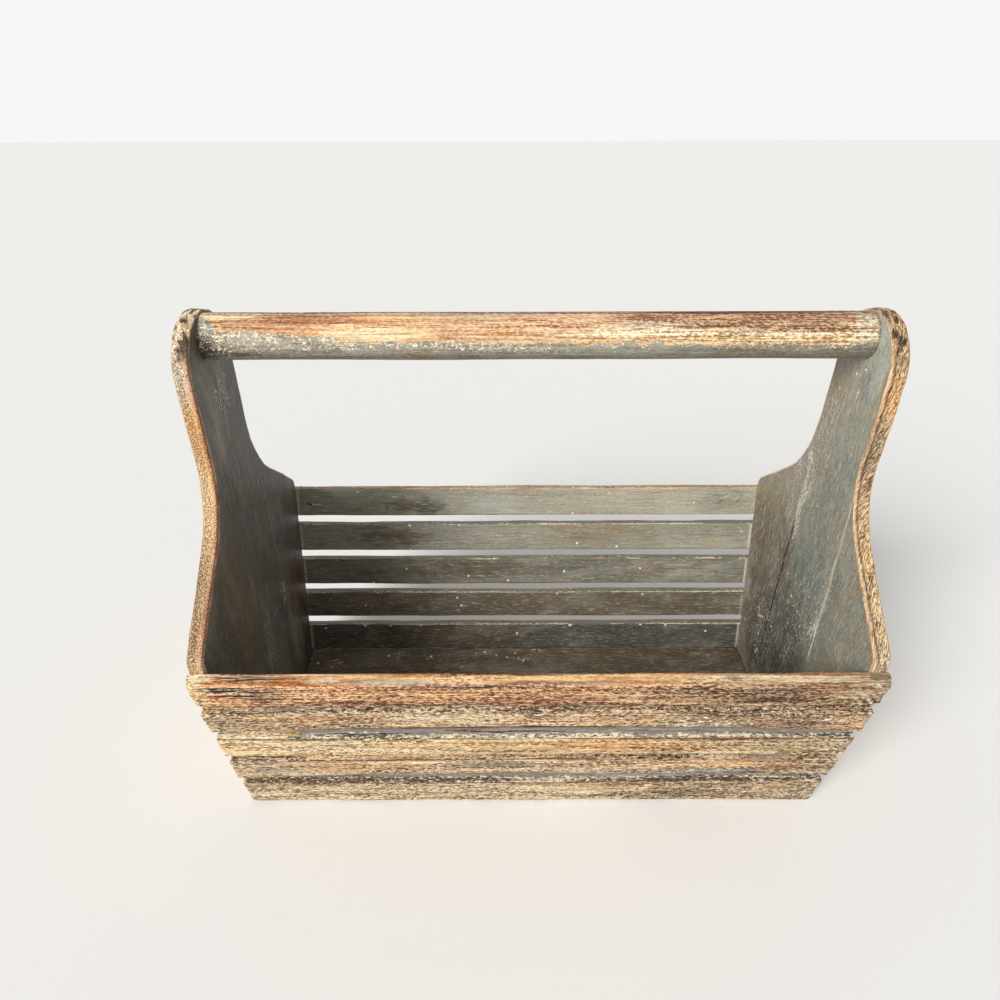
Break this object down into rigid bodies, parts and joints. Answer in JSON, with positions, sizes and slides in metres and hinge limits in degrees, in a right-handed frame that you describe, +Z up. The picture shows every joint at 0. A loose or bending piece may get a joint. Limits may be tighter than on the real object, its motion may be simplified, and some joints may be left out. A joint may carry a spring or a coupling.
{
  "type": "slatted wooden garden trug",
  "caption": "Open wooden carrying basket with leaning slatted long sides, profiled upright end boards, a flat floor and a fixed round rod handle overhead.",
  "frame": {"origin": "centre of the footprint, on the plane that the basket stands on", "axes": "+X along the handle and the slats, +Y from the front wall to the back wall, +Z up"},
  "size_m": [0.4318, 0.2392, 0.3585],
  "materials": {
    "slats": "worn brown stain and cream undercoat outside, grey-olive paint inside, rough",
    "end_boards": "thin dark grey-olive paint with scratches, edges worn to cream and orange wood",
    "handle": "rust-brown worn wood on top with cream patches, chipped dark grey paint below",
    "floor": "dark brown-grey paint, dusty, satin",
    "brads": "plain flat steel brads, dull",
    "screws": "countersunk steel screws, dulled with age"
  },
  "bodies": {
    "root": {"front_slat_1": "slats", "front_slat_2": "slats", "front_slat_3": "slats", "front_slat_4": "slats", "front_slat_5": "slats", "back_slat_1": "slats", "back_slat_2": "slats", "back_slat_3": "slats", "back_slat_4": "slats", "back_slat_5": "slats", "end_board_left": "end_boards", "end_board_right": "end_boards", "handle": "handle", "floor_board": "floor", "front_slat_brads_left": "brads", "back_slat_brads_left": "brads", "floor_end_brads_left": "brads", "handle_screw_left": "screws", "front_slat_brads_right": "brads", "back_slat_brads_right": "brads", "floor_end_brads_right": "brads", "handle_screw_right": "screws", "floor_edge_brads_front": "brads", "floor_edge_brads_back": "brads"}
  },
  "joints": []
}
